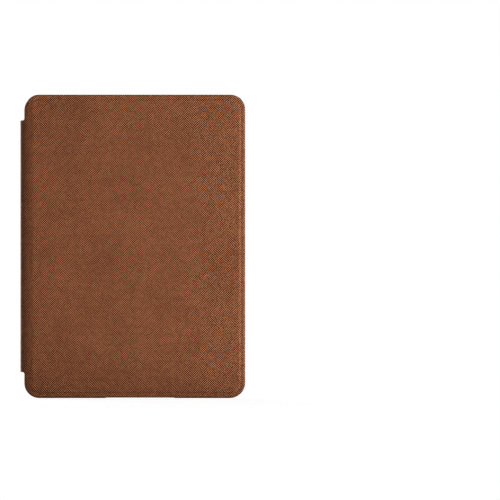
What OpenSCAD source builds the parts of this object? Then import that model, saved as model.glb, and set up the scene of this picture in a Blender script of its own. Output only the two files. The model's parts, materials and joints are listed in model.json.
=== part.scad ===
// Slim book-style case with a hard snap-on shell, and the electronic reader that it holds.
// The closed case stands on its bottom edge: X runs across the covers with the spine on -X,
// Y runs through the thickness with the front cover on -Y, and Z runs up the page.
// Names ending in _d are depths, counted forward from the leather on the back of the case.
// X values are counted from the middle of the shell, which centre_x puts in the case's own frame.

/* [Case] */
// Thickness of the closed case
case_t = 12.8; // [12.8:0.1:14]
// Width of the hard shell
shell_w = 128.8; // [128.8:0.1:129.4]
// Height of the hard shell
shell_h = 176.8; // [176.8:0.1:177.4]
// Corner radius of the shell seen from the front
shell_r = 8.8; // [8:0.1:10]
// Radius of the shell's rounded back edge
shell_edge_r = 3; // [2:0.1:3.2]
// Thickness of the shell's side walls
shell_side_wall = 1.9; // [1.4:0.1:1.9]
// Thickness of the shell's top and bottom walls
shell_end_wall = 1.3; // [1:0.1:1.3]
// Where the port cut-out starts, to the spine side of the middle
port_gap_left = 17; // [14:0.5:20]
// Where the port cut-out ends, to the other side of the middle
port_gap_right = 23; // [20:0.5:26]

/* [Leather] */
// Thickness of the leather skin on the cover and the spine
skin_t = 0.6; // [0.4:0.05:0.7]
// Thickness of the leather panel on the back, with its foam
panel_t = 0.9; // [0.8:0.05:1]
// How far the spine stands out from the middle of the shell
spine_reach = 66.8; // [66.6:0.1:67.2]
// How far the cover's free edge stands out from the middle of the shell
cover_reach = 64.6; // [64.4:0.1:65.2]
// Corner radius of the front cover
cover_r = 8.6; // [6:0.1:9]
// Gap under the cover when the case stands up
cover_lift = 0.3; // [0.2:0.1:0.6]

/* [Reader] */
// Width of the reader
reader_w = 124.8; // [124:0.1:124.8]
// Height of the reader
reader_h = 174; // [173.4:0.1:174]
// Thickness of the reader
reader_t = 8; // [7.9:0.1:8.1]
// Corner radius of the reader
reader_r = 7; // [6:0.5:8]
// Width of the screen's active area
screen_w = 103.6; // [96:0.1:106]
// Height of the screen's active area
screen_h = 138.2; // [130:0.1:140]
// Travel of the power button
button_travel = 0.35; // [0.2:0.05:0.35]

/* [Hidden] */

$fn = 64;
// Step used wherever a cut runs past the face that it opens
past = 1;

// Middle of the shell, measured from the middle of the closed case
centre_x = (spine_reach - cover_reach) / 2;

// Depths of the shell and of what lies on its floor
rim_back_d = 0.25;
shell_floor_d = 2.1;
lining_t = 0.3;
reader_back_d = shell_floor_d + lining_t;
reader_front_d = reader_back_d + reader_t;
lip_d = reader_front_d + 0.05;
lip_reach = 0.45;
shell_front_d = reader_front_d + 0.4;
shell_fit = 0.1;

// Inside of the shell
tray_x = shell_w / 2 - shell_side_wall;
tray_top = shell_h - shell_end_wall;

// Panel on the back: a rounded field, and a tongue that runs over the rim to the spine
panel_left = 60.3;
panel_right = 59.9;
panel_low = 5;
panel_high = 172.6;
panel_r = 6;
tongue_low = 18.2;
tongue_high = 159.4;
tongue_end = shell_w / 2;

// Front cover
cover_back_d = 11.1;
board_back_d = cover_back_d + lining_t;
skin_d = case_t - skin_t;
cover_left = 64.4;
cover_top = cover_lift + shell_h;
cover_tongue_low = 16.6;
cover_tongue_high = 160.4;
hinge_gap = 0.5;
// The board stops short of the spine here, so that the leather between them can bend
board_left = 61.4;

// Spine: a skin bent at both edges over a stiff strip, tapered a little towards the back
spine_bend_r = 2.5;
spine_inner = tongue_end + hinge_gap;
stay_inner = spine_inner + lining_t;
stay_end = 4;
spine_back_low = tongue_low;
spine_back_high = tongue_high;
spine_front_low = 15;
spine_front_high = 161.5;

// Reader: housing, and the levels of its screen stack
reader_low = shell_end_wall + shell_fit;
reader_high = reader_low + reader_h;
reader_x = reader_w / 2;
housing_wall = 1.3;
housing_floor_d = reader_back_d + 1.2;
gasket_t = 0.2;
bezel_back_d = reader_front_d - 1.4;
gasket_back_d = bezel_back_d - gasket_t;
lens_t = 0.4;
lens_back_d = reader_front_d - lens_t;
lens_margin = 1.2;
touch_t = 0.2;
guide_t = 0.4;
panel_stack_d = bezel_back_d - touch_t;
guide_back_d = panel_stack_d - guide_t;
epaper_t = 0.8;
midframe_t = 0.7;
epaper_back_d = guide_back_d - epaper_t;
midframe_back_d = epaper_back_d - midframe_t;
screen_low = reader_low + 23.3;
stack_margin_x = 2.2;
stack_margin_low = 4.7;
stack_margin_high = 3.1;
stack_x = screen_w / 2 + stack_margin_x;
stack_low = screen_low - stack_margin_low;
stack_high = screen_low + screen_h + stack_margin_high;

// Main board and what sits on it
board_rest_d = housing_floor_d + 0.6;
board_t = 0.8;
board_face_d = board_rest_d + board_t;
board_x = 52;
board_low = 3.2;
board_high = 44;
board_screw_x = 48;
board_screw_z = [8, 40];
frame_screw_x = 57;
frame_screw_z = [20, 90, 168];
boss_r = 1.8;
screw_r = 0.68;
screw_hole_r = 0.7;
screw_head_r = 1.3;
screw_head_t = 0.4;

// Bottom edge of the reader: socket, status light and power button, on one depth
port_x = -4.5;
port_h = 3.2;
edge_d = board_face_d + port_h / 2;
port_w = 8.94;
port_mouth_w = 8.34;
port_mouth_h = 2.56;
port_depth = 7.4;
tongue_w = 6.7;
tongue_t = 0.7;
light_x = 4.5;
light_w = 2.4;
light_h = 0.8;
button_x = 13.6;
button_w = 10;
button_h = 2;
button_proud = 0.4;
button_slack = 0.15;
button_flange = 0.4;
button_flange_t = 0.7;
wall_inner = reader_low + housing_wall;

// Battery
battery_x = 46;
battery_low = 52;
battery_high = 116;
battery_front_d = housing_floor_d + 3;
adhesive_t = 0.2;

// Magnets that hold the cover shut, as [low, high] along Z
magnet_bands = [[62, 82], [96, 116]];
magnet_x = 56;
magnet_w = 4;
wake_x = 46;
wake_z = 30;

// A flat outline drawn in X and Z becomes a slab between two depths
module slab(from_d, to_d) {
    translate([centre_x, case_t / 2 - from_d, 0])
        rotate([90, 0, 0])
            linear_extrude(to_d - from_d) children();
}

// A flat outline drawn in X and depth becomes a bar between two heights
module bar(low, high) {
    translate([centre_x, case_t / 2, low])
        mirror([0, 1, 0])
            linear_extrude(high - low) children();
}

// Rectangle between two corners
module rect(x0, x1, z0, z1) {
    translate([x0, z0]) square([x1 - x0, z1 - z0]);
}

// Rectangle between two corners, with round corners
module rounded_rect(x0, x1, z0, z1, r) {
    rect(x0 + r, x1 - r, z0, z1);
    rect(x0, x1, z0 + r, z1 - r);
    for (x = [x0 + r, x1 - r], z = [z0 + r, z1 - r]) {
        translate([x, z]) circle(r);
    }
}

// Slot with round ends, w long and h high, centred on a point
module pill(x, y, w, h) {
    rounded_rect(x - w / 2, x + w / 2, y - h / 2, y + h / 2, h / 2 - 0.001);
}

// Box given by its X, Z and depth limits
module block(x0, x1, z0, z1, d0, d1) {
    slab(d0, d1) rect(x0, x1, z0, z1);
}

// One corner of the shell: a post with a large round at the back and a small one at the front
module shell_corner(front_r = 0.6) {
    rotate_extrude($fn = 40) {
        rect(0, shell_r - shell_edge_r, rim_back_d, shell_front_d);
        rect(0, shell_r - front_r, shell_edge_r + rim_back_d, shell_front_d);
        rect(0, shell_r, shell_edge_r + rim_back_d, shell_front_d - front_r);
        translate([shell_r - shell_edge_r, rim_back_d + shell_edge_r])
            circle(shell_edge_r, $fn = 32);
        translate([shell_r - front_r, shell_front_d - front_r])
            circle(front_r, $fn = 16);
    }
}

// The shell's outer form, solid
module shell_form() {
    reach_x = shell_w / 2 - shell_r;
    hull() {
        for (x = [-reach_x, reach_x], z = [shell_r, shell_h - shell_r]) {
            translate([centre_x + x, case_t / 2, z])
                rotate([90, 0, 0])
                    shell_corner();
        }
    }
}

// Outline of the leather panel on the back
module panel_outline() {
    rounded_rect(-panel_left, panel_right, panel_low, panel_high, panel_r);
    rect(-tongue_end, 0, tongue_low, tongue_high);
}

// Hard shell that the reader snaps into
module case_shell() {
    inner_r = shell_r - shell_side_wall;
    color("#3c4044")
    difference() {
        shell_form();
        slab(shell_floor_d, lip_d)
            rounded_rect(-tray_x, tray_x, shell_end_wall, tray_top, inner_r);
        slab(lip_d - past, shell_front_d + past)
            rounded_rect(-tray_x + lip_reach, tray_x - lip_reach,
                         shell_end_wall + lip_reach, tray_top - lip_reach, inner_r);
        slab(-past, panel_t) panel_outline();
        bar(-past, shell_end_wall + lip_reach + past)
            polygon([[-port_gap_left + 2, shell_floor_d], [port_gap_right - 2, shell_floor_d],
                     [port_gap_right, shell_floor_d + 2], [port_gap_right, case_t],
                     [-port_gap_left, case_t], [-port_gap_left, shell_floor_d + 2]]);
    }
}

// Leather panel bonded to the back of the shell
module back_panel() {
    color("#8a5538")
    slab(0, panel_t) panel_outline();
}

// Soft lining on the shell's floor
module shell_lining() {
    margin = 2;
    color("#55504c")
    slab(shell_floor_d, reader_back_d)
        rounded_rect(-tray_x + margin, tray_x - margin,
                     shell_end_wall + margin, tray_top - margin, shell_r - margin - 2);
}

// Outline of the reader
module reader_outline(inset = 0) {
    rounded_rect(-reader_x + inset, reader_x - inset,
                 reader_low + inset, reader_high - inset, reader_r - inset);
}

// Round posts at the given places
module posts(x, z_list, r, from_d, to_d) {
    slab(from_d, to_d)
        for (side = [-x, x], z = z_list) {
            translate([side, z]) circle(r);
        }
}

// Back half of the reader, with its screw bosses and the slots in its bottom edge
module rear_housing() {
    color("#2b2d2f")
    difference() {
        union() {
            difference() {
                slab(reader_back_d, gasket_back_d) reader_outline();
                slab(housing_floor_d, bezel_back_d + past) reader_outline(housing_wall);
            }
            posts(board_screw_x, board_screw_z, boss_r, housing_floor_d, board_rest_d);
            posts(frame_screw_x, frame_screw_z, boss_r, housing_floor_d, midframe_back_d);
        }
        posts(board_screw_x, board_screw_z, screw_hole_r, reader_back_d + 0.5, board_rest_d + past);
        posts(frame_screw_x, frame_screw_z, screw_hole_r, reader_back_d + 2, midframe_back_d + past);
        bar(reader_low - past, wall_inner + past) {
            pill(port_x, edge_d, port_w, port_h);
            pill(light_x, edge_d, light_w, light_h);
            pill(button_x, edge_d, button_w + 2 * button_slack, button_h + 2 * button_slack);
        }
    }
}

// Seal between the housing and the bezel
module perimeter_gasket() {
    color("#1c1c1e")
    difference() {
        slab(gasket_back_d, bezel_back_d) reader_outline(0.2);
        slab(gasket_back_d - past, bezel_back_d + past) reader_outline(housing_wall - 0.1);
    }
}

// Front frame around the screen, with a shallow seat for the lens
module front_bezel() {
    color("#17181a")
    difference() {
        slab(bezel_back_d, reader_front_d) reader_outline();
        slab(lens_back_d, reader_front_d + past) reader_outline(lens_margin);
        block(-screen_w / 2, screen_w / 2, screen_low, screen_low + screen_h,
              bezel_back_d - past, reader_front_d + past);
    }
}

// Clear plate over the whole front
module screen_lens() {
    color("#c9d2d6", 0.4)
    slab(lens_back_d, reader_front_d) reader_outline(lens_margin);
}

// One layer of the screen stack
module screen_layer(from_d, to_d) {
    block(-stack_x, stack_x, stack_low, stack_high, from_d, to_d);
}

// Touch film
module touch_sensor() {
    color("#9fb0b8")
    screen_layer(panel_stack_d, bezel_back_d);
}

// Light guide of the front light
module light_guide() {
    color("#dfe6e4")
    screen_layer(guide_back_d, panel_stack_d);
}

// Row of light sources under the lower edge of the light guide
module frontlight_strip(count = 17, pitch = 6) {
    strip_low = stack_low - 1.6;
    color("#e9dfae")
    union() {
        block(-stack_x + 1, stack_x - 1, strip_low, stack_low, guide_back_d, guide_back_d + 0.1);
        for (i = [0 : count - 1]) {
            x = (i - (count - 1) / 2) * pitch;
            block(x - 1.2, x + 1.2, stack_low - 0.8, stack_low, guide_back_d, panel_stack_d);
        }
    }
}

// Electronic paper panel
module epaper_panel() {
    color("#c8c8c2")
    screen_layer(epaper_back_d, guide_back_d);
}

// Stiff plate that carries the screen, screwed to the housing
module midframe() {
    frame_low = 16;
    frame_high = 172;
    window_low = 50;
    window_high = 118;
    color("#8f959a")
    difference() {
        slab(midframe_back_d, epaper_back_d)
            rounded_rect(-60.5, 60.5, frame_low, frame_high, 5);
        slab(midframe_back_d - past, epaper_back_d + past)
            rounded_rect(-battery_x - 1, battery_x + 1, window_low, window_high, 2);
        posts(frame_screw_x, frame_screw_z, screw_hole_r, midframe_back_d - past, epaper_back_d + past);
    }
}

// Flat flex from the screen's lower edge round to its socket on the main board
module display_flex() {
    left = -40;
    right = -18;
    fold_z = 14.4;
    color("#b5762a")
    union() {
        block(left, right, fold_z, stack_low, epaper_back_d, epaper_back_d + 0.2);
        block(left, right, fold_z, fold_z + 0.2, board_face_d + 0.9, epaper_back_d + 0.2);
        block(left - 1, right + 1, fold_z - 1.6, fold_z + 1.2, board_face_d, board_face_d + 0.9);
    }
}

// Flat lithium cell
module battery() {
    color("#b9bdc1")
    slab(housing_floor_d + adhesive_t, battery_front_d)
        rounded_rect(-battery_x, battery_x, battery_low, battery_high, 1.5);
}

// Stretch-release tape under the battery
module battery_adhesive() {
    margin = 5;
    color("#efeee6")
    union() {
        for (x = [-battery_x + margin, margin]) {
            block(x, x + battery_x - 2 * margin, battery_low + margin, battery_high - margin,
                  housing_floor_d, housing_floor_d + adhesive_t);
        }
    }
}

// Battery lead and its plug on the main board
module battery_lead() {
    color("#b03a2e")
    union() {
        block(14, 22, board_high - 5, board_high - 1, board_face_d, board_face_d + 1.2);
        for (x = [15.5, 17.5, 19.5]) {
            block(x, x + 1, board_high - 1, battery_low, board_face_d + 0.2, board_face_d + 0.9);
        }
    }
}

// Main circuit board
module main_board() {
    color("#1f5a3a")
    difference() {
        slab(board_rest_d, board_face_d)
            rounded_rect(-board_x, board_x, board_low, board_high, 1.5);
        posts(board_screw_x, board_screw_z, screw_hole_r, board_rest_d - past, board_face_d + past);
    }
}

// Chip soldered to the face of the main board
module chip(x, z, w, h, t) {
    block(x - w / 2, x + w / 2, z - h / 2, z + h / 2, board_face_d, board_face_d + t);
}

// Main processor
module processor() {
    color("#26282b")
    chip(-19, 28, 13, 13, 1.1);
}

// Memory
module memory_chip() {
    color("#26282b")
    chip(-3, 28, 11.5, 13, 1);
}

// Charging and power control chip
module power_chip() {
    color("#26282b")
    chip(30, 20, 7, 7, 0.9);
}

// Metal can over the processor and the memory
module shield_can() {
    can_t = 1.5;
    sheet = 0.2;
    color("#aeb4b8")
    difference() {
        chip(-11, 28, 38, 19, can_t);
        chip(-11, 28, 38 - 2 * sheet, 19 - 2 * sheet, can_t - sheet);
    }
}

// Flexible antenna at the top of the housing
module antenna_flex() {
    color("#8a6a2f")
    block(-20, 20, 166, 171, housing_floor_d, housing_floor_d + 0.25);
}

// Charging socket: a stamped sleeve with a contact tongue
module usb_c_port() {
    mouth_z = reader_low + 0.1;
    back_z = mouth_z + port_depth;
    sleeve_back = 0.8;
    color("#b8bcc0")
    union() {
        difference() {
            bar(mouth_z, back_z) pill(port_x, edge_d, port_w, port_h);
            bar(mouth_z - past, back_z - sleeve_back)
                pill(port_x, edge_d, port_mouth_w, port_mouth_h);
        }
        bar(mouth_z + 1, back_z)
            rect(port_x - tongue_w / 2, port_x + tongue_w / 2,
                 edge_d - tongue_t / 2, edge_d + tongue_t / 2);
    }
}

// Rubber ring that seals the socket against the housing
module port_gasket() {
    color("#1c1c1e")
    bar(wall_inner, board_low) {
        difference() {
            pill(port_x, edge_d, port_w + 1.6, port_h + 1.6);
            pill(port_x, edge_d, port_w, port_h);
        }
    }
}

// Push switch behind the power button
module power_switch() {
    nub_z = wall_inner + button_flange_t + 1.3 + button_travel;
    color("#3a3d42")
    union() {
        block(button_x - 3, button_x + 3, nub_z + 0.4, nub_z + 3.4, board_face_d, edge_d + 1.2);
        block(button_x - 1, button_x + 1, nub_z, nub_z + 0.4, edge_d - 0.6, edge_d + 0.6);
    }
}

// Power button in the bottom edge, with the flange that keeps it in
module power_button() {
    gap = 0.05;
    flange_low = wall_inner + gap;
    color("#232527")
    union() {
        bar(reader_low - button_proud, flange_low)
            pill(button_x, edge_d, button_w, button_h);
        bar(flange_low, flange_low + button_flange_t)
            pill(button_x, edge_d, button_w + 2 * button_flange, button_h + 2 * button_flange);
        bar(flange_low + button_flange_t, flange_low + button_flange_t + 1.1)
            rect(button_x - 1, button_x + 1, edge_d - 0.6, edge_d + 0.6);
    }
}

// Lens of the status light
module status_led_lens() {
    color("#f0f2e8")
    bar(reader_low, wall_inner + 0.6) pill(light_x, edge_d, light_w, light_h);
}

// Sensor that notices the cover's wake magnet
module hall_sensor() {
    color("#26282b")
    chip(wake_x, wake_z, 2.9, 1.6, 0.8);
}

// Magnets glued into the housing
module reader_magnets() {
    color("#c0c4c8")
    union() {
        for (band = magnet_bands) {
            block(magnet_x, magnet_x + magnet_w, band[0], band[1],
                  housing_floor_d, housing_floor_d + 2);
        }
    }
}

// One machine screw, pointing into the housing
module screw(x, z, head_d, length) {
    slab(head_d - length, head_d) translate([x, z]) circle(screw_r);
    slab(head_d, head_d + screw_head_t) translate([x, z]) circle(screw_head_r);
}

// Screws that hold the main board
module board_screws() {
    color("#9aa0a6")
    for (x = [-board_screw_x, board_screw_x], z = board_screw_z) {
        screw(x, z, board_face_d, 1.9);
    }
}

// Screws that hold the midframe
module midframe_screws() {
    color("#9aa0a6")
    for (x = [-frame_screw_x, frame_screw_x], z = frame_screw_z) {
        screw(x, z, epaper_back_d, 2.8);
    }
}

// Height limits of the spine, tapered from the front to the back
module spine_limits() {
    translate([-spine_reach - past + centre_x, 0, 0])
        rotate([90, 0, 90])
            linear_extrude(4 * spine_bend_r)
                polygon([[case_t / 2 + past, spine_back_low], [case_t / 2 + past, spine_back_high],
                         [-case_t / 2 - past, spine_front_high], [-case_t / 2 - past, spine_front_low]]);
}

// Leather of the spine, bent at its front and back edges
module spine_leather() {
    color("#7a4a2e")
    intersection() {
        bar(spine_front_low - past, spine_front_high + past) {
            difference() {
                rounded_rect(-spine_reach, 0, 0, case_t, spine_bend_r);
                rounded_rect(-spine_reach + skin_t, 0, skin_t, skin_d, spine_bend_r - skin_t);
                rect(-spine_inner, past, -past, case_t + past);
            }
        }
        spine_limits();
    }
}

// Stiff strip inside the spine
module spine_stay() {
    color("#6b6258")
    block(-spine_reach + skin_t, -stay_inner, spine_back_low + 1, spine_back_high - 1,
          stay_end, case_t - stay_end);
}

// Lining on the inside of the spine
module spine_lining() {
    color("#55504c")
    block(-stay_inner, -spine_inner, spine_back_low + 0.5, spine_back_high - 0.5,
          stay_end, case_t - stay_end);
}

// Outline of the front cover, with the tongue that meets the spine
module cover_outline(inset = 0) {
    rounded_rect(-cover_left + inset, cover_reach - inset,
                 cover_lift + inset, cover_top - inset, cover_r - inset);
    rect(-tongue_end + inset, 0, cover_tongue_low + inset, cover_tongue_high - inset);
}

// Leather of the front cover, folded over the edge of the board
module cover_leather() {
    color("#7f4a2c")
    difference() {
        slab(cover_back_d, case_t) cover_outline();
        slab(cover_back_d - past, skin_d) cover_outline(skin_t);
    }
}

// Stiff board inside the front cover, with pockets for the magnets
module cover_board() {
    pocket_d = skin_d - 0.2;
    color("#8d8478")
    difference() {
        slab(board_back_d, skin_d)
            intersection() {
                cover_outline(skin_t);
                rect(-board_left, cover_reach, 0, cover_top);
            }
        for (band = magnet_bands) {
            block(magnet_x, magnet_x + magnet_w, band[0], band[1], board_back_d - past, pocket_d);
        }
        slab(board_back_d - past, pocket_d) translate([wake_x, wake_z]) circle(3);
    }
}

// Soft lining on the inside of the front cover
module cover_lining() {
    color("#55504c")
    slab(cover_back_d, board_back_d) cover_outline(skin_t);
}

// Magnets in the cover that hold it shut
module cover_magnets() {
    color("#c0c4c8")
    union() {
        for (band = magnet_bands) {
            block(magnet_x, magnet_x + magnet_w, band[0], band[1], board_back_d, skin_d - 0.2);
        }
    }
}

// Magnet that wakes the reader
module wake_magnet() {
    color("#c0c4c8")
    slab(board_back_d, skin_d - 0.2) translate([wake_x, wake_z]) circle(3);
}

case_shell();
back_panel();
shell_lining();
rear_housing();
front_bezel();
screen_lens();
touch_sensor();
light_guide();
frontlight_strip();
epaper_panel();
midframe();
perimeter_gasket();
display_flex();
battery();
battery_adhesive();
battery_lead();
main_board();
processor();
memory_chip();
power_chip();
shield_can();
antenna_flex();
usb_c_port();
port_gasket();
power_switch();
status_led_lens();
hall_sensor();
reader_magnets();
board_screws();
midframe_screws();
power_button();
spine_leather();
spine_stay();
spine_lining();
cover_leather();
cover_board();
cover_lining();
cover_magnets();
wake_magnet();
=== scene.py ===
# Look of a slim folio case and the electronic reader inside it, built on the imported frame.
# Lengths are in millimetres until place() turns them into the frame's metres. X is counted from
# the middle of the shell, depth from the leather on the back, and Z up from the bottom edge.
import json
import math

import bpy
import numpy as np
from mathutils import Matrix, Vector
from mathutils.kdtree import KDTree


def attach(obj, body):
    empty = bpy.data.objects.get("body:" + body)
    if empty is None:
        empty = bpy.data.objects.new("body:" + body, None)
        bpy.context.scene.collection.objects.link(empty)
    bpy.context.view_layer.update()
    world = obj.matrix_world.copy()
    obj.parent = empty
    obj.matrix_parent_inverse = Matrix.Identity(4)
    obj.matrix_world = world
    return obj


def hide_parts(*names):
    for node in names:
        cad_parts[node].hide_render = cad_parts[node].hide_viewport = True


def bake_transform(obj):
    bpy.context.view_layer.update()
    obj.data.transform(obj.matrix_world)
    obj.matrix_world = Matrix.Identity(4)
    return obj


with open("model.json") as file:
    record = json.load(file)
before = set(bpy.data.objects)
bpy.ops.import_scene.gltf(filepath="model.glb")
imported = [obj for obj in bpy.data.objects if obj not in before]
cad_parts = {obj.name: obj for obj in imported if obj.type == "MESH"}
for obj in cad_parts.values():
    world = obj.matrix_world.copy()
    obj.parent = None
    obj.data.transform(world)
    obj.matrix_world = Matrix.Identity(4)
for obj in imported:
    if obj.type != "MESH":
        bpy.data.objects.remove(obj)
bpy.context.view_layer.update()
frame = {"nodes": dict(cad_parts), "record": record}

MM = 0.001
CENTRE_X = 1.1
CASE_T = 12.8
MIDDLE = (0.0, 0.0, 0.0885)

# Limits shared with the CAD model
SHELL_X = 64.4
SHELL_H = 176.8
SHELL_R = 8.8
COVER_LEFT = -64.4
COVER_RIGHT = 64.6
COVER_LOW = 0.3
COVER_HIGH = 177.1
COVER_R = 8.6
PANEL_LEFT = -60.3
PANEL_RIGHT = 59.9
PANEL_LOW = 5.0
PANEL_HIGH = 172.6
PANEL_R = 6.0
SKIN_T = 0.6
LINING_T = 0.3

# Lower and upper end of the spine at the back and at the front, and the depths between which
# the one runs into the other
SPINE_BACK = (18.2, 159.4)
SPINE_FRONT = (15.2, 162.1)
SPINE_TAPER = (0.4, 4.6)

# Fineness of the meshes, in millimetres and degrees
NOTCH_FILLET = 1.75
NOTCH_POINTS = 8
BEND_STEPS = 12
BEND_PITCH = 0.4
FIELD_PITCH = 2.5
ARC_STEP = 3
OUTLINE_PITCH = 0.12
CORNER_STEP = 6
CORNER_POINTS = 16

# Least thickness of a sheet, and how sharply its pattern is pushed out at the turned edges
LEAST_T = 0.05
EDGE_POWER = 5


# ---------------------------------------------------------------- mesh helpers

def place(x, depth, z):
    """A point of the case as a point of the frame."""
    return ((x + CENTRE_X) * MM, (CASE_T / 2 - depth) * MM, z * MM)


def make_piece(name, points, faces, material, uvs=None, sharp_angle=40):
    """Mesh object from points in the frame, shaded smooth but for its sharp edges."""
    mesh = bpy.data.meshes.new(name)
    mesh.from_pydata(points, [], faces)
    if uvs is not None:
        layer = mesh.uv_layers.new(name="unrolled")
        index = np.empty(len(mesh.loops), dtype=np.int32)
        mesh.loops.foreach_get("vertex_index", index)
        layer.uv.foreach_set("vector", np.asarray(uvs, dtype=np.float32)[index].ravel())
    mesh.polygons.foreach_set("use_smooth", [True] * len(mesh.polygons))
    mesh.update()
    mesh.validate()
    mesh.set_sharp_from_angle(angle=math.radians(sharp_angle))
    mesh.materials.append(material)
    piece = bpy.data.objects.new(name, mesh)
    bpy.context.scene.collection.objects.link(piece)
    return piece


def smooth_step(value, start, end):
    """0 before start, 1 after end, and smooth between them."""
    share = min(1.0, max(0.0, (value - start) / (end - start)))
    return share * share * (3 - 2 * share)


def curve_through(corners):
    """Points of a smooth curve through the corners."""
    points = [np.array(c, dtype=float) for c in corners]
    points = [2 * points[0] - points[1]] + points + [2 * points[-1] - points[-2]]
    result = []
    for i in range(1, len(points) - 2):
        before, start, end, after = points[i - 1 : i + 3]
        for k in range(BEND_STEPS):
            s = k / BEND_STEPS
            result.append(
                0.5
                * (
                    2 * start
                    + (end - before) * s
                    + (2 * before - 5 * start + 4 * end - after) * s * s
                    + (3 * start - before - 3 * end + after) * s ** 3
                )
            )
    result.append(points[-2])
    return np.array(result)


class SheetPath:
    """Section of a sheet that bends round the spine and then runs flat.

    along is the X of the flat part, carried on round the bend at true length.
    side is 1 on the front of the case and -1 on its back."""

    def __init__(self, corners, flat_end, side):
        bend = curve_through(corners)
        points = np.vstack([bend, [[flat_end, bend[-1][1]]]])
        lengths = np.linalg.norm(np.diff(points, axis=0), axis=1)
        run = np.concatenate([[0.0], np.cumsum(lengths)])
        self.along = run - run[-2] + points[-2][0]
        self.points = points
        slope = np.gradient(points, self.along, axis=0)
        slope[-2:] = (1.0, 0.0)
        slope /= np.linalg.norm(slope, axis=1)[:, None]
        self.normals = side * np.stack([-slope[:, 1], slope[:, 0]], axis=1)
        self.start = float(self.along[0])

    def at(self, along):
        """(x, depth, normal x, normal depth) at one place."""
        x = np.interp(along, self.along, self.points[:, 0])
        depth = np.interp(along, self.along, self.points[:, 1])
        nx = np.interp(along, self.along, self.normals[:, 0])
        nd = np.interp(along, self.along, self.normals[:, 1])
        size = math.hypot(nx, nd)
        return x, depth, nx / size, nd / size


def spine_limits(depth):
    """Lower and upper end of the spine at one depth."""
    share = smooth_step(depth, *SPINE_TAPER)
    low = SPINE_BACK[0] + (SPINE_FRONT[0] - SPINE_BACK[0]) * share
    high = SPINE_BACK[1] + (SPINE_FRONT[1] - SPINE_BACK[1]) * share
    return low, high


def sheet_columns(path, field, inset=0.0):
    """(along, low, high) columns of a sheet: the spine, the filleted notch, then the field.

    field is (left, right, low, high, corner radius)."""
    left, right, low, high, r = field
    left += inset
    right -= inset
    low += inset
    high -= inset
    r -= inset
    columns = []
    start = path.start
    notch = left - NOTCH_FILLET
    count = round((notch - start) / BEND_PITCH)
    for i in range(count):
        along = start + (notch - start) * i / count
        ends = spine_limits(path.at(along)[1])
        columns.append((along, ends[0] + inset, ends[1] - inset))
    for i in range(NOTCH_POINTS):
        angle = math.radians(90 * i / (NOTCH_POINTS - 1))
        along = notch + NOTCH_FILLET * math.sin(angle)
        rise = NOTCH_FILLET * (1 - math.cos(angle))
        ends = spine_limits(path.at(along)[1])
        columns.append((along, ends[0] + inset - rise, ends[1] - inset + rise))
    for i in range(90 // ARC_STEP + 1):
        angle = math.radians(ARC_STEP * i)
        cut = r * (1 - math.sin(angle))
        # The first column stands just clear of the notch's last
        along = left + r * (1 - math.cos(angle)) + (0.02 if i == 0 else 0)
        columns.append((along, low + cut, high - cut))
    count = round((right - left - 2 * r) / FIELD_PITCH)
    for i in range(1, count):
        columns.append((left + r + (right - left - 2 * r) * i / count, low, high))
    for i in range(90 // ARC_STEP + 1):
        angle = math.radians(ARC_STEP * i)
        cut = r * (1 - math.cos(angle))
        columns.append((right - r + r * math.sin(angle), low + cut, high - cut))
    return columns


def edge_distance(columns, points):
    """Distance from each (along, z) point to the sheet's free outline."""
    outline = []
    for a, b in zip(columns, columns[1:]):
        for side in (1, 2):
            length = math.hypot(b[0] - a[0], b[side] - a[side])
            count = max(1, math.ceil(length / OUTLINE_PITCH))
            for i in range(count):
                share = i / count
                outline.append(
                    (a[0] + (b[0] - a[0]) * share, a[side] + (b[side] - a[side]) * share)
                )
    last = columns[-1]
    count = math.ceil((last[2] - last[1]) / OUTLINE_PITCH)
    for i in range(count + 1):
        outline.append((last[0], last[1] + (last[2] - last[1]) * i / count))
    tree = KDTree(len(outline))
    for i, point in enumerate(outline):
        tree.insert((point[0], point[1], 0.0), i)
    tree.balance()
    return [tree.find((a, z, 0.0))[2] for a, z in points]


# Distances of a column's fine rows from its end, and the height over which they are spread
END_ROWS = (0, 0.05, 0.15, 0.3, 0.5, 0.75, 1.05, 1.4, 1.8, 2.2, 2.5, 2.75, 3.0, 3.25, 3.5, 3.9,
            4.6, 6, 8, 11, 14.5, 18)
END_ZONE = 23.0


def column_heights(low, high):
    """Heights of one column's points: fine rows near both ends and even rows between."""
    lower = END_ZONE
    upper = SHELL_H - END_ZONE
    low_scale = (lower - low) / lower
    high_scale = (high - upper) / (SHELL_H - upper)
    heights = [low + row * low_scale for row in END_ROWS]
    count = round((upper - lower) / FIELD_PITCH)
    heights += [lower + (upper - lower) * i / count for i in range(count + 1)]
    heights += [high - row * high_scale for row in reversed(END_ROWS)]
    return heights


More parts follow.
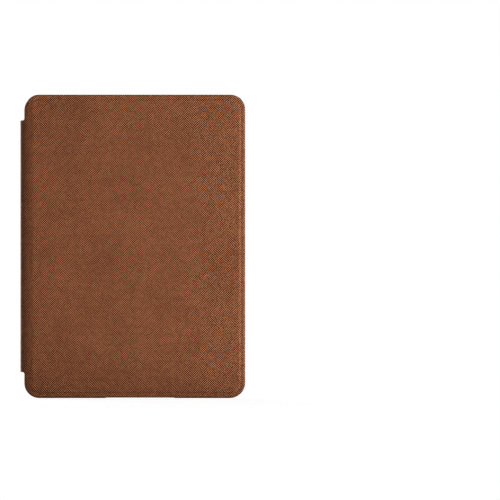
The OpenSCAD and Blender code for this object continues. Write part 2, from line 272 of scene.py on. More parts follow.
def sheet_piece(name, path, columns, drop, depth_under, material):
    """Closed sheet along a path: the outer face sinks by drop(distance to the edge, along),
    and the inner face lies depth_under(distance, along) below the path."""
    across = len(columns)
    flat = []
    for along, low, high in columns:
        flat += [(along, z) for z in column_heights(low, high)]
    up = len(flat) // across
    distance = edge_distance(columns, flat)
    side = -1 if path.normals[-1][1] < 0 else 1
    half_along = (columns[-1][0] - columns[0][0]) / 2
    half_up = SHELL_H / 2
    outer = []
    inner = []
    outer_uvs = []
    inner_uvs = []
    for index, (along, z) in enumerate(flat):
        x, depth, nx, nd = path.at(along)
        row = index % up
        gap = 0.0 if row in (0, up - 1) or index // up == across - 1 else distance[index]
        sink = drop(gap, along)
        under = max(depth_under(gap, along), sink + LEAST_T)
        outer.append(place(x - nx * sink, depth - nd * sink, z))
        inner.append(place(x - nx * under, depth - nd * under, z))
        u = along - path.start
        outer_uvs.append((side * u * MM, z * MM))
        # The pattern runs on down the turned edges
        u += under * (u / half_along - 1) ** EDGE_POWER
        v = z + under * (z / half_up - 1) ** EDGE_POWER
        inner_uvs.append((side * u * MM, v * MM))
    total = len(outer)
    faces = []

    def corner(column, row):
        return column * up + row

    flip = side < 0
    for i in range(across - 1):
        for j in range(up - 1):
            quad = (corner(i, j), corner(i + 1, j), corner(i + 1, j + 1), corner(i, j + 1))
            faces.append(quad[::-1] if flip else quad)
            under_quad = tuple(k + total for k in quad)
            faces.append(under_quad if flip else under_quad[::-1])
    rim = [corner(i, 0) for i in range(across)]
    rim += [corner(across - 1, j) for j in range(1, up)]
    rim += [corner(i, up - 1) for i in range(across - 2, -1, -1)]
    rim += [corner(0, j) for j in range(up - 2, 0, -1)]
    for a, b in zip(rim, rim[1:] + rim[:1]):
        wall = (a, a + total, b + total, b)
        faces.append(wall[::-1] if flip else wall)
    return make_piece(name, outer + inner, faces, material, outer_uvs + inner_uvs)


# ---------------------------------------------------------------- material helpers

def linear(colour):
    """Colour as a screen shows it, 0 to 255, as a linear colour."""
    result = []
    for value in colour:
        share = value / 255
        low = share <= 0.04045
        result.append(share / 12.92 if low else ((share + 0.055) / 1.055) ** 2.4)
    return (*result, 1.0)


def feed(tree, socket, value):
    """Links a socket to another, or sets its constant."""
    if isinstance(value, bpy.types.NodeSocket):
        tree.links.new(value, socket)
    elif value is not None:
        socket.default_value = value


def maths(tree, operation, first, second=None, third=None):
    """Math node."""
    node = tree.nodes.new("ShaderNodeMath")
    node.operation = operation
    for socket, value in zip(node.inputs, (first, second, third)):
        feed(tree, socket, value)
    return node.outputs[0]


def ranged(tree, value, low, high, to_low=0.0, to_high=1.0, smooth=True):
    """Map Range node."""
    node = tree.nodes.new("ShaderNodeMapRange")
    node.interpolation_type = "SMOOTHSTEP" if smooth else "LINEAR"
    for socket, given in zip(node.inputs, (value, low, high, to_low, to_high)):
        feed(tree, socket, given)
    return node.outputs[0]


def noise(tree, vector, scale, detail=2.0, roughness=0.5):
    """Noise node, as its factor."""
    node = tree.nodes.new("ShaderNodeTexNoise")
    feed(tree, node.inputs["Vector"], vector)
    node.inputs["Scale"].default_value = scale
    node.inputs["Detail"].default_value = detail
    node.inputs["Roughness"].default_value = roughness
    return node.outputs["Fac"]


def ramp(tree, factor, stops):
    """Colour Ramp node from (position, screen colour) stops."""
    node = tree.nodes.new("ShaderNodeValToRGB")
    feed(tree, node.inputs["Fac"], factor)
    elements = node.color_ramp.elements
    while len(elements) < len(stops):
        elements.new(0.5)
    for element, (position, colour) in zip(elements, stops):
        element.position = position
        element.color = linear(colour)
    return node.outputs["Color"]


def bump(tree, height, distance):
    """Bump node; distance is in millimetres."""
    node = tree.nodes.new("ShaderNodeBump")
    node.inputs["Strength"].default_value = 1.0
    node.inputs["Distance"].default_value = distance * MM
    feed(tree, node.inputs["Height"], height)
    return node.outputs["Normal"]


def coordinates(tree, kind, stretch=(1, 1, 1)):
    """Coordinates in millimetres, as noise and waves read them."""
    if kind == "unrolled":
        source = tree.nodes.new("ShaderNodeUVMap")
        source.uv_map = "unrolled"
        vector = source.outputs["UV"]
    else:
        source = tree.nodes.new("ShaderNodeTexCoord")
        vector = source.outputs["Object"]
    mapping = tree.nodes.new("ShaderNodeMapping")
    mapping.inputs["Scale"].default_value = tuple(s / MM for s in stretch)
    feed(tree, mapping.inputs["Vector"], vector)
    return mapping.outputs["Vector"]


def shader_of(material):
    """The material's one Principled shader."""
    return next(n for n in material.node_tree.nodes if n.type == "BSDF_PRINCIPLED")


def new_material(name):
    """(material, its tree, its shader)."""
    material = bpy.data.materials.new(name)
    material.use_nodes = True
    return material, material.node_tree, shader_of(material)


def grained(name, dark, light, grain, rough, depth, metallic=0.0, stretch=(1, 1, 1), specular=0.5):
    """Material with a fine grain and a broad change of tone. grain is its size in millimetres,
    rough the lowest and highest roughness, and depth the grain's height in millimetres."""
    material, tree, shader = new_material(name)
    space = coordinates(tree, "Object", stretch)
    fine = noise(tree, space, 1 / grain, 3.0, 0.6)
    broad = noise(tree, space, 0.06, 2.0, 0.5)
    blend = maths(tree, "MULTIPLY_ADD", broad, 0.5, maths(tree, "MULTIPLY", fine, 0.5))
    feed(tree, shader.inputs["Base Color"], ramp(tree, blend, [(0.32, dark), (0.68, light)]))
    feed(tree, shader.inputs["Roughness"], ranged(tree, blend, 0.3, 0.7, rough[0], rough[1]))
    feed(tree, shader.inputs["Normal"], bump(tree, fine, depth))
    shader.inputs["Metallic"].default_value = metallic
    shader.inputs["Specular IOR Level"].default_value = specular
    return material


# Distance between the leather's threads in millimetres, and its colours from furrow to ridge, which are
# partly the leather's own tone and partly painted shade in the furrows and a painted highlight on the ridges
THREAD_PITCH = 0.93
LEATHER_TONES_AND_RELIEF_SHADE = (
    (0.32, (43, 10, 2)),
    (0.47, (87, 32, 7)),
    (0.6, (134, 65, 30)),
    (0.76, (240, 158, 106)),
)
NAP_DARK = (66, 61, 58)
NAP_LIGHT = (98, 92, 87)


def leather(name):
    """Coated leather with fine ridges that cross at 45 degrees, stronger one way or the other
    in small patches."""
    material, tree, shader = new_material(name)
    space = coordinates(tree, "unrolled")
    split = tree.nodes.new("ShaderNodeSeparateXYZ")
    feed(tree, split.inputs["Vector"], space)
    across = split.outputs["X"]
    up = split.outputs["Y"]
    wander = noise(tree, space, 0.22, 2.0, 0.5)
    wander_two = noise(tree, space, 0.19, 2.0, 0.5)
    turn = 2 * math.pi / (THREAD_PITCH * math.sqrt(2))

    def ridge(sum_kind, drift, amount):
        line = maths(tree, sum_kind, across, up)
        line = maths(tree, "MULTIPLY_ADD", drift, amount, line)
        return maths(tree, "SINE", maths(tree, "MULTIPLY", line, turn))

    rising = ridge("ADD", wander, 1.5)
    falling = ridge("SUBTRACT", wander_two, 1.4)
    patch = noise(tree, space, 0.19, 2.0, 0.55)
    rising_part = ranged(tree, patch, 0.38, 0.6, 0.25, 1.0)
    falling_part = ranged(tree, patch, 0.4, 0.62, 1.0, 0.25)
    falling_ridges = maths(tree, "MULTIPLY", falling, falling_part)
    weave = maths(tree, "MULTIPLY_ADD", rising, rising_part, falling_ridges)
    height = ranged(tree, weave, -1.25, 1.25, 0.0, 1.0, smooth=False)
    broken = noise(tree, space, 0.9, 3.0, 0.65)
    fade = maths(tree, "MULTIPLY_ADD", broken, 0.24, maths(tree, "MULTIPLY", height, 0.76))
    cloud = noise(tree, space, 0.045, 3.0, 0.6)
    tone = maths(tree, "MULTIPLY_ADD", cloud, 0.12, maths(tree, "SUBTRACT", fade, 0.06))
    # The colour follows the ridges' height: painted shade in the furrows and a painted highlight on the
    # ridges, over the leather's own tone and mottling
    feed(tree, shader.inputs["Base Color"], ramp(tree, tone, LEATHER_TONES_AND_RELIEF_SHADE))
    feed(tree, shader.inputs["Roughness"], ranged(tree, tone, 0.25, 0.8, 0.74, 0.58))
    fine = noise(tree, space, 5.0, 2.0, 0.6)
    relief = maths(tree, "MULTIPLY_ADD", fine, 0.25, height)
    feed(tree, shader.inputs["Normal"], bump(tree, relief, 0.09))
    shader.inputs["Specular IOR Level"].default_value = 0.22
    return material


def suede(name, dark, light, kind):
    """Short-napped microfibre."""
    material, tree, shader = new_material(name)
    space = coordinates(tree, kind)
    nap = noise(tree, space, 3.2, 4.0, 0.7)
    brushed = noise(tree, space, 0.05, 2.0, 0.45)
    blend = maths(tree, "MULTIPLY_ADD", brushed, 0.2, maths(tree, "MULTIPLY", nap, 0.8))
    feed(tree, shader.inputs["Base Color"], ramp(tree, blend, [(0.34, dark), (0.66, light)]))
    feed(tree, shader.inputs["Roughness"], ranged(tree, blend, 0.3, 0.7, 0.98, 0.86))
    feed(tree, shader.inputs["Normal"], bump(tree, nap, 0.12))
    shader.inputs["Sheen Weight"].default_value = 0.35
    shader.inputs["Sheen Roughness"].default_value = 0.5
    shader.inputs["Specular IOR Level"].default_value = 0.25
    return material


def traced(name, base, line, width, stretch, metallic_line=True):
    """Circuit board or flat flex: metal lines under a coat."""
    material, tree, shader = new_material(name)
    space = coordinates(tree, "Object", stretch)
    turned = tree.nodes.new("ShaderNodeMapping")
    turned.inputs["Rotation"].default_value = (math.radians(90), 0, 0)
    feed(tree, turned.inputs["Vector"], space)
    brick = tree.nodes.new("ShaderNodeTexBrick")
    feed(tree, brick.inputs["Vector"], turned.outputs["Vector"])
    brick.inputs["Scale"].default_value = 1.0
    brick.inputs["Mortar Size"].default_value = width
    brick.inputs["Mortar Smooth"].default_value = 0.2
    brick.inputs["Brick Width"].default_value = 2.6
    brick.inputs["Row Height"].default_value = 0.8
    grain = noise(tree, space, 1.4, 3.0, 0.6)
    mark = maths(tree, "MULTIPLY", brick.outputs["Fac"], ranged(tree, grain, 0.4, 0.6))
    feed(tree, shader.inputs["Base Color"], ramp(tree, mark, [(0.1, base), (0.9, line)]))
    feed(tree, shader.inputs["Roughness"], ranged(tree, grain, 0.3, 0.7, 0.3, 0.5))
    feed(tree, shader.inputs["Normal"], bump(tree, mark, 0.03))
    if metallic_line:
        feed(tree, shader.inputs["Metallic"], ranged(tree, mark, 0.4, 0.6, 0.0, 0.7))
    return material


def clear_layer(name, colour, alpha, rough):
    """Thin clear layer with an anti-glare grain."""
    material = grained(name, colour, tuple(min(255, c + 12) for c in colour), 0.25, rough, 0.004)
    shader_of(material).inputs["Alpha"].default_value = alpha
    return material


def page_with_painted_glow(name, dark, light):
    """Empty electronic paper that glows: the reader's front light turned low, and a painted glow that makes
    up for lamp light the clear layers in front keep off.
    """
    material = grained(name, dark, light, 0.12, (0.8, 0.92), 0.01)
    shader = shader_of(material)
    # Painted glow: the page lights itself to make up for the lamp light that the clear layers in front of it
    # keep off
    shader.inputs["Emission Color"].default_value = (0.8, 0.81, 0.77, 1)
    shader.inputs["Emission Strength"].default_value = 0.3
    return material


def milky(name, dark, light):
    """Diffusing lens of a light that is off."""
    return grained(name, dark, light, 0.3, (0.3, 0.45), 0.01)


def make_materials():
    """Every finish, by the record's material slot."""
    return {
        "leather": leather("leather"),
        "shell_plastic": grained(
            "shell_plastic", (39, 44, 49), (49, 55, 60), 0.22, (0.4, 0.5), 0.01, specular=0.55
        ),
        "microfibre": suede("microfibre", NAP_DARK, NAP_LIGHT, "Object"),
        "housing_plastic": grained(
            "housing_plastic", (30, 32, 34), (42, 44, 46), 0.3, (0.5, 0.64), 0.02
        ),
        "bezel_plastic": grained("bezel_plastic", (17, 18, 20), (26, 27, 29), 0.3, (0.42, 0.55), 0.015),
        "lens": clear_layer("lens", (196, 200, 200), 0.04, (0.22, 0.34)),
        "clear_film": clear_layer("clear_film", (205, 212, 214), 0.02, (0.12, 0.2)),
        "light_source": milky("light_source", (222, 208, 150), (250, 240, 200)),
        "epaper": page_with_painted_glow("epaper", (186, 187, 182), (204, 205, 200)),
        "frame_metal": grained(
            "frame_metal", (132, 138, 142), (168, 173, 177), 0.5, (0.3, 0.45), 0.01, 1.0, (1, 1, 0.05)
        ),
        "rubber": grained("rubber", (22, 22, 24), (34, 34, 36), 0.25, (0.75, 0.9), 0.02),
        "flex_film": traced("flex_film", (150, 92, 30), (205, 140, 62), 0.12, (1.2, 1, 0.08)),
        "cell_foil": grained(
            "cell_foil", (160, 164, 168), (198, 201, 204), 1.6, (0.28, 0.42), 0.04, 0.9
        ),
        "adhesive_tape": grained("adhesive_tape", (222, 220, 208), (240, 238, 228), 0.8, (0.6, 0.75), 0.02),
        "wire": grained("wire", (128, 30, 24), (170, 52, 42), 0.4, (0.4, 0.55), 0.01),
        "circuit_board": traced("circuit_board", (22, 74, 46), (70, 128, 84), 0.1, (0.7, 1, 0.7), False),
        "chip_body": grained("chip_body", (28, 30, 33), (44, 46, 49), 0.3, (0.5, 0.62), 0.015),
        "sheet_steel": grained(
            "sheet_steel", (158, 163, 167), (190, 194, 197), 0.4, (0.3, 0.44), 0.01, 1.0, (0.08, 1, 1)
        ),
        "socket_steel": grained(
            "socket_steel", (150, 154, 158), (196, 199, 202), 0.3, (0.22, 0.36), 0.006, 1.0, (1, 1, 0.1)
        ),
        "light_lens": milky("light_lens", (224, 226, 214), (244, 246, 236)),
        "magnet": grained("magnet", (150, 154, 158), (182, 186, 190), 0.6, (0.24, 0.36), 0.008, 1.0),
        "screw_steel": grained("screw_steel", (118, 122, 126), (158, 162, 166), 0.3, (0.28, 0.4), 0.01, 1.0),
        "button_plastic": grained("button_plastic", (24, 25, 27), (36, 37, 39), 0.2, (0.38, 0.5), 0.01),
        "board_card": grained("board_card", (122, 112, 100), (154, 145, 132), 0.5, (0.85, 0.95), 0.03),
    }


def finish_nodes(materials):
    """Gives every CAD node its slot's finish."""
    slots = {}
    for part in frame["record"]["subparts"]:
        slots[part["node"]] = part["material_slot"]
    for name, piece in frame["nodes"].items():
        piece.data.materials.clear()
        piece.data.materials.append(materials[slots[name]])


# ---------------------------------------------------------------- leather and lining

# Sections of the sheets round the spine, as (x, depth) from the middle of the spine or its
# inner edge to the start of the flat part
FRONT_BEND = (
    (-66.8, 6.4), (-66.8, 7.3), (-66.7, 8.4), (-66.3, 9.5), (-65.6, 10.45),
    (-64.6, 11.2), (-63.6, 11.7), (-62.6, 12.06), (-61.6, 12.34), (-60.9, 12.48),
    (-60.4, 12.54), (-59.8, 12.7), (-59.2, 12.78), (-58.4, 12.8),
)
BACK_BEND = (
    (-66.8, 6.4), (-66.75, 5.3), (-66.4, 4.0), (-65.6, 2.75), (-64.3, 1.65),
    (-62.7, 0.86), (-61.0, 0.36), (-59.2, 0.09), (-57.4, 0.01), (-55.6, 0.0),
)
LINING_BEND = (
    (-65.2, 2.6), (-65.2, 4.0), (-65.2, 6.4), (-65.2, 8.6), (-65.15, 9.6),
    (-64.95, 10.4), (-64.4, 11.0), (-63.4, 11.24), (-62.4, 11.36), (-61.4, 11.4),
)


def rounding(distance, radius):
    """How far a round of this radius sinks at this distance from the edge."""
    if distance >= radius:
        return 0.0
    return radius - math.sqrt(radius * radius - (radius - distance) ** 2)


# Distances from the edge between which the leather's turned-in edge ends under it, and
# distances along the spine from the middle of its outside between which its inner fold ends
TURNED_IN = (0.7, 2.0)
SPINE_FOLD = (1.5, 4)
# The front leather: radius of its edge on the spine and what the cover adds to it, the step
# down to its border, where that border ends, and where the step fades out at the bend
FRONT_EDGE_R = 0.22
COVER_EDGE_R = 0.88
BORDER_STEP = 0.42
BORDER_END = (2.6, 3.4)
BORDER_FADE = (-62.5, -56.5)
# How far down its edge reaches, and what the cover and the spine's middle add
FRONT_EDGE_DEPTH = 0.75
COVER_EDGE_DEPTH = 0.95
SPINE_EDGE_DEPTH = 0.85
# The back leather: radius of its edge and what the panel adds, the panel's crown and where it
# ends, and how far down the panel and the spine's middle reach
BACK_EDGE_R = 0.5
PANEL_EDGE_R = 0.1
PANEL_CROWN = 0.1
CROWN_END = (1.5, 3.4)
PANEL_DEPTH = 0.32
BACK_SPINE_DEPTH = 0.95


def front_leather(materials):
    """Leather over the front cover and the front half of the spine."""
    path = SheetPath(FRONT_BEND, COVER_RIGHT + 1, 1)
    field = (COVER_LEFT, COVER_RIGHT, COVER_LOW, COVER_HIGH, COVER_R)
    columns = sheet_columns(path, field)

    def drop(distance, along):
        on_cover = smooth_step(along, COVER_LEFT - 0.5, COVER_LEFT + 1.5)
        off_bend = smooth_step(along, *BORDER_FADE)
        step = BORDER_STEP * off_bend * (1 - smooth_step(distance, *BORDER_END))
        return step + rounding(distance, FRONT_EDGE_R + COVER_EDGE_R * on_cover)

    def under(distance, along):
        on_cover = smooth_step(along, COVER_LEFT - 0.6, COVER_LEFT + 1.4)
        on_spine = 1 - smooth_step(along - path.start, *SPINE_FOLD)
        edge_depth = FRONT_EDGE_DEPTH + COVER_EDGE_DEPTH * on_cover + SPINE_EDGE_DEPTH * on_spine
        turned_in = 1 - smooth_step(distance, *TURNED_IN)
        return SKIN_T + (edge_depth - SKIN_T) * turned_in

    piece = sheet_piece("folio_leather_front", path, columns, drop, under, materials["leather"])
    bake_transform(piece)
    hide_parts("cover_leather")


def back_leather(materials):
    """Leather over the shell's back and the back half of the spine."""
    path = SheetPath(BACK_BEND, PANEL_RIGHT + 1, -1)
    field = (PANEL_LEFT, PANEL_RIGHT, PANEL_LOW, PANEL_HIGH, PANEL_R)
    columns = sheet_columns(path, field)

    def drop(distance, along):
        on_panel = smooth_step(along, PANEL_LEFT - 1.5, PANEL_LEFT + 1)
        crown = PANEL_CROWN * on_panel * (1 - smooth_step(distance, *CROWN_END))
        return crown + rounding(distance, BACK_EDGE_R + PANEL_EDGE_R * on_panel)

    def under(distance, along):
        on_panel = smooth_step(along, PANEL_LEFT - 1.5, PANEL_LEFT + 1)
        on_spine = 1 - smooth_step(along - path.start, *SPINE_FOLD)
        turned_in = 1 - smooth_step(distance, *TURNED_IN)
        return SKIN_T + PANEL_DEPTH * on_panel + BACK_SPINE_DEPTH * on_spine * turned_in

    piece = sheet_piece("folio_leather_back", path, columns, drop, under, materials["leather"])
    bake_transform(piece)
    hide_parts("back_panel", "spine_leather")


def folio_lining(materials):
    """Soft lining inside the spine and the front cover."""
    path = SheetPath(LINING_BEND, COVER_RIGHT + 1, 1)
    field = (COVER_LEFT, COVER_RIGHT, COVER_LOW, COVER_HIGH, COVER_R)
    columns = sheet_columns(path, field, inset=0.65)

    def drop(distance, along):
        return 0.02

    def under(distance, along):
        return LINING_T - 0.12 * rounding(distance, 1.0)

    piece = sheet_piece("folio_lining", path, columns, drop, under, materials["lining_nap"])
    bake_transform(piece)
    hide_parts("cover_lining", "spine_lining")


# ---------------------------------------------------------------- hard shell

# Ends of the port cut-out, the width of its sloped ends, the depth of its floor, how far it
# lifts the rim's bottom edge, and the height of the wall in it
PORT_GAP = (-17.0, 23.0)
PORT_SLOPE = 2
PORT_FLOOR_D = 2.1
PORT_LIFT = 0.9
PORT_WALL = 1.3
# How deep the rim is notched under the spine leather, and how fast the notch ends
TONGUE_SINK = 0.78
TONGUE_STEP = (0.5, 0.1)


def port_limit(x):
    """Greatest depth and least height of the bottom wall at this place along it."""
    start, end = PORT_GAP
    if x < start - 0.01 or x > end + 0.01:
        return CASE_T, 0.0
    slope = max(0.0, start + PORT_SLOPE - x, x - (end - PORT_SLOPE))
    return PORT_FLOOR_D + slope, PORT_LIFT * (1 - slope / PORT_SLOPE)


def merged(points, faces):
    """The same faces without doubled points or faces that have closed up."""
    first = {}
    kept = []
    for point in points:
        key = tuple(round(value, 7) for value in point)
        if key not in first:
            first[key] = len(kept)
            kept.append(point)
    where = [first[tuple(round(value, 7) for value in point)] for point in points]
    clean = []
    for face in faces:
        ring = [where[i] for i in face]
        ring = [a for a, b in zip(ring, ring[1:] + ring[:1]) if a != b]
        if len(set(ring)) > 2:
            clean.append(tuple(ring))
    return kept, clean


def tongue_share(z):
    """1 where the spine leather crosses the rim, 0 clear of it."""
    low, high = SPINE_BACK
    out, back = TONGUE_STEP
    return smooth_step(z, low - out, low + back) * (1 - smooth_step(z, high - back, high + out))


def shell_stations():
    """Places round the shell: (side, position) on the straights, (corner, angle) on the rounds.
    They stand close together at the ends of the port cut-out and of the tongue's notch."""
    start, end = PORT_GAP
    bottom = [-50, -40, -30, -22, start - 0.03, start, start + 0.5, start + 1.2, start + 2]
    bottom += [-8, 0, 8, 16, end - 2, end - 1.2, end - 0.5, end, end + 0.03, 30, 40, 50]
    low, high = SPINE_BACK
    left = [low - 1.1 + 0.1 * i for i in range(17)]
    left += [20 + (157.5 - 20) * i / 22 for i in range(23)]
    left += [high - 0.5 + 0.1 * i for i in range(17)]
    left.sort(reverse=True)
    stations = [("bottom", x) for x in bottom]
    stations += [("corner", (1, 0, -90 + CORNER_STEP * i)) for i in range(CORNER_POINTS)]
    stations += [("right", z) for z in range(16, 162, 8)]
    stations += [("corner", (1, 1, CORNER_STEP * i)) for i in range(CORNER_POINTS)]
    stations += [("top", x) for x in range(48, -49, -8)]
    stations += [("corner", (-1, 1, 90 + CORNER_STEP * i)) for i in range(CORNER_POINTS)]
    stations += [("left", z) for z in left]
    stations += [("corner", (-1, 0, 180 + CORNER_STEP * i)) for i in range(CORNER_POINTS)]
    return stations


# Widths of the rim's bead on the spine side, the free side, the bottom and the top
BEAD_WIDTHS = (3.74, 4.06, 4.5, 3.78)
# Section of the bead's inner flank: share of its width from the outside, and depth
BEAD_INSIDE = (
    (1.01, 0.98),
    (0.995, 0.84),
    (0.97, 0.66),
    (0.92, 0.5),
    (0.86, 0.38),
    (0.79, 0.3),
    (0.71, 0.258),
)
# Radius of the bead's outer flank, and the depth of its crest
BEAD_R = 3
BEAD_CREST_D = 0.25
# How much of the free side's width the corners lose
BEAD_CORNER = 0.62
# The side wall and the eased lip: inset and depth
SIDE_WALL = ((0, 5.5), (0, 8), (0, 10.2), (0.05, 10.42), (0.18, 10.62), (0.36, 10.75), (0.6, 10.8))
# The recess for the leather, and the tray: left, right, low, high, corner radius and depth
RECESS = (-59.0, 58.6, 6.3, 171.3, 4.7, 0.93)
TRAY = (
    (-62.15, 62.15, 1.65, 175.15, 6.8, 10.8),
    (-62.05, 62.05, 1.75, 175.05, 6.8, 10.7),
    (-62.05, 62.05, 1.75, 175.05, 6.8, 10.5),
    (-62.5, 62.5, 1.3, 175.5, 6.9, 10.4),
    (-62.5, 62.5, 1.3, 175.5, 6.9, 2.4),
    (-62.2, 62.2, 1.6, 175.2, 6.6, 2.1),
    (-60.0, 60.0, 3.8, 173.0, 4.6, 2.1),
)


def wall_ring(inset, depth, sinks):
    """Ring that keeps one inset from the shell's outline all round."""
    return (-SHELL_X + inset, SHELL_X - inset, inset, SHELL_H - inset, SHELL_R - inset, depth, sinks)


def shell_rings():
    """(left, right, low, high, radius, depth, sinks under the spine) from the back's recess,
    over the bead and the side wall, to the floor of the tray."""
    rings = [(*RECESS, 0)]
    for share, depth in BEAD_INSIDE:
        left, right, low, high = (share * width for width in BEAD_WIDTHS)
        radius = SHELL_R - BEAD_CORNER * right
        edges = (-SHELL_X + left, SHELL_X - right, low, SHELL_H - high)
        rings.append((*edges, radius, depth, int(share < 1)))
    for i in range(1, 11):
        angle = math.radians(9 * i)
        inset = BEAD_R - BEAD_R * math.sin(angle)
        depth = BEAD_R + BEAD_CREST_D - BEAD_R * math.cos(angle)
        rings.append(wall_ring(inset, depth, 1))
    rings += [wall_ring(inset, depth, 0) for inset, depth in SIDE_WALL]
    rings += [(*tray_ring, 0) for tray_ring in TRAY]
    return rings


def ring_point(ring, station):
    """One point of a ring."""
    left, right, low, high, r, depth, sinks = ring
    kind, where = station
    if kind == "corner":
        side_x, side_z, degrees = where
        angle = math.radians(degrees)
        x = (right - r if side_x > 0 else left + r) + r * math.cos(angle)
        z = (high - r if side_z else low + r) + r * math.sin(angle)
    elif kind in ("bottom", "top"):
        x = where
        z = low if kind == "bottom" else high
    else:
        x = right if kind == "right" else left
        z = where
    if kind == "left" and sinks:
        depth += TONGUE_SINK * tongue_share(z)
    if kind == "bottom":
        limit, lift = port_limit(x)
        z = max(z, lift)
        if depth > limit:
            depth = limit
            z = min(z, PORT_WALL)
    return place(x, depth, z)


def ring_faces(count, rings):
    """Faces of a closed form made of rings that run from the back to the front."""
    faces = [tuple(range(count - 1, -1, -1))]
    for k in range(rings - 1):
        for i in range(count):
            j = (i + 1) % count
            faces.append((k * count + i, k * count + j, (k + 1) * count + j, (k + 1) * count + i))
    last = (rings - 1) * count
    faces.append(tuple(last + i for i in range(count)))
    return faces


def shell_back(materials):
    """Hard shell with its round rim, the recess for the leather and the port cut-out."""
    stations = shell_stations()
    rings = shell_rings()
    count = len(stations)
    points = []
    for ring in rings:
        points += [ring_point(ring, station) for station in stations]
    points, faces = merged(points, ring_faces(count, len(rings)))
    piece = make_piece("shell_back", points, faces, materials["shell_plastic"], sharp_angle=50)
    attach(piece, "root")
    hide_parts("case_shell")


# ---------------------------------------------------------------- the reader's clear plate

LENS_X = 61.2
LENS_LOW = 2.6
LENS_HIGH = 174.2
LENS_R = 5.8
# Depth and inset of its rings, from its back to its eased front edge
LENS_RINGS = ((10.03, 0.03), (10.3, 0.03), (10.36, 0.06), (10.39, 0.13))


def lens_plate(materials):
    """Clear plate over the reader's front, with an eased edge and a hair of air behind it."""
    corners = ((1, LENS_LOW, -90), (1, LENS_HIGH, 0), (-1, LENS_HIGH, 90), (-1, LENS_LOW, 180))
    points = []
    for depth, inset in LENS_RINGS:
        for side, edge, start in corners:
            centre_x = side * (LENS_X - LENS_R)
            centre_z = edge - LENS_R if edge > LENS_R else edge + LENS_R
            for i in range(CORNER_POINTS):
                angle = math.radians(start + CORNER_STEP * i)
                x = centre_x + (LENS_R - inset) * math.cos(angle)
                points.append(place(x, depth, centre_z + (LENS_R - inset) * math.sin(angle)))
    faces = ring_faces(4 * CORNER_POINTS, len(LENS_RINGS))
    piece = make_piece("lens_plate", points, faces, materials["lens"], sharp_angle=50)
    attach(piece, "root")
    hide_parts("screen_lens")


# ---------------------------------------------------------------- light, floor and camera

# Metres: where the floor starts and ends to fade, and the radii of its rings
FLOOR_FADE = (0.075, 0.19)
FLOOR_RADII = (0.075, 0.11, 0.15, 0.2)
FLOOR_SIDES = 96
# Millimetres of lens and sensor, then metres: the width the picture takes in, and the camera's
# place across and up
CAMERA_LENS = 350
CAMERA_SENSOR = 36
PICTURE_WIDTH = 0.2917
CAMERA_X = 0.0685
CAMERA_Z = 0.08645


def area_light(name, azimuth, elevation, distance, size, power, colour=(1, 1, 1)):
    """Soft rectangular light aimed at the middle of the case."""
    data = bpy.data.lights.new(name, "AREA")
    data.shape = "RECTANGLE"
    data.size, data.size_y = size
    data.energy = power
    data.color = colour
    light = bpy.data.objects.new(name, data)
    a = math.radians(azimuth)
    e = math.radians(elevation)
    away = Vector((math.sin(a) * math.cos(e), -math.cos(a) * math.cos(e), math.sin(e)))
    light.location = Vector(MIDDLE) + away * distance
    light.rotation_mode = "QUATERNION"
    light.rotation_quaternion = away.to_track_quat("Z", "Y")
    bpy.context.scene.collection.objects.link(light)


def make_lights():
    """Studio light: a key at front right, one behind, and a weak fill from the spine's side."""
    area_light("key_front", 61, 1, 0.9, (0.7, 0.6), 11.1)
    area_light("key_back", 212, 3, 1.1, (0.9, 0.7), 12.5)
    area_light("fill_spine", 280, 8, 1.2, (0.5, 0.8), 2.2, (0.92, 0.96, 1.0))


def make_world():
    """White backdrop for the camera, and dim even light on everything else."""
    world = bpy.data.worlds.new("studio")
    world.use_nodes = True
    tree = world.node_tree
    tree.nodes.clear()
    output = tree.nodes.new("ShaderNodeOutputWorld")
    backdrop = tree.nodes.new("ShaderNodeBackground")
    backdrop.inputs["Color"].default_value = (1, 1, 1, 1)
    backdrop.inputs["Strength"].default_value = 1.0
    fill = tree.nodes.new("ShaderNodeBackground")
    fill.inputs["Color"].default_value = (0.95, 0.97, 1.0, 1)
    fill.inputs["Strength"].default_value = 0.08
    path = tree.nodes.new("ShaderNodeLightPath")
    mix = tree.nodes.new("ShaderNodeMixShader")
    feed(tree, mix.inputs["Fac"], path.outputs["Is Camera Ray"])
    tree.links.new(fill.outputs[0], mix.inputs[1])
    tree.links.new(backdrop.outputs[0], mix.inputs[2])
    tree.links.new(mix.outputs[0], output.inputs["Surface"])
    bpy.context.scene.world = world


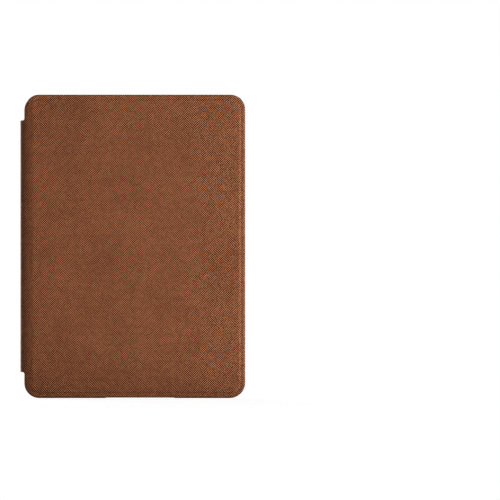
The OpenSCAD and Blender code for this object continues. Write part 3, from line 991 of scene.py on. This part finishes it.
def floor_material():
    """Pale floor that fades out into the backdrop."""
    material, tree, shader = new_material("floor")
    shader.inputs["Base Color"].default_value = (0.4, 0.4, 0.4, 1)
    shader.inputs["Roughness"].default_value = 0.9
    shader.inputs["Specular IOR Level"].default_value = 0.1
    shader.inputs["Emission Color"].default_value = (1, 1, 1, 1)
    shader.inputs["Emission Strength"].default_value = 0.85
    source = tree.nodes.new("ShaderNodeTexCoord")
    length = tree.nodes.new("ShaderNodeVectorMath")
    length.operation = "LENGTH"
    feed(tree, length.inputs[0], source.outputs["Object"])
    fade = ranged(tree, length.outputs["Value"], *FLOOR_FADE, 1.0, 0.0)
    feed(tree, shader.inputs["Alpha"], fade)
    return material


def make_floor():
    """Pale floor disc."""
    points = [(0.0, 0.0, 0.0)]
    faces = []
    count = FLOOR_SIDES
    for radius in FLOOR_RADII:
        for i in range(count):
            angle = 2 * math.pi * i / count
            points.append((radius * math.cos(angle), radius * math.sin(angle), 0.0))
    for i in range(count):
        j = (i + 1) % count
        faces.append((0, 1 + i, 1 + j))
        for k in range(len(FLOOR_RADII) - 1):
            a = 1 + k * count
            b = a + count
            faces.append((a + i, b + i, b + j, a + j))
    floor = make_piece("floor", points, faces, floor_material())
    floor.visible_diffuse = False
    floor.visible_glossy = False


def make_camera():
    """Long lens, level with the middle of the case, which stands left of the picture's middle."""
    data = bpy.data.cameras.new("camera")
    data.lens = CAMERA_LENS
    data.sensor_width = CAMERA_SENSOR
    data.clip_end = 20
    camera = bpy.data.objects.new("camera", data)
    distance = PICTURE_WIDTH * data.lens / data.sensor_width
    camera.location = (CAMERA_X, -distance - CASE_T / 2 * MM, CAMERA_Z)
    camera.rotation_euler = (math.radians(90), 0, 0)
    bpy.context.scene.collection.objects.link(camera)
    bpy.context.scene.camera = camera


def main():
    """Builds the scene round the frame's pieces."""
    bpy.context.scene.view_settings.view_transform = "Standard"
    make_camera()
    make_world()
    make_lights()
    make_floor()
    materials = make_materials()
    finish_nodes(materials)
    materials["lining_nap"] = suede("lining_nap", NAP_DARK, NAP_LIGHT, "unrolled")
    shell_back(materials)
    lens_plate(materials)
    back_leather(materials)
    front_leather(materials)
    folio_lining(materials)


main()
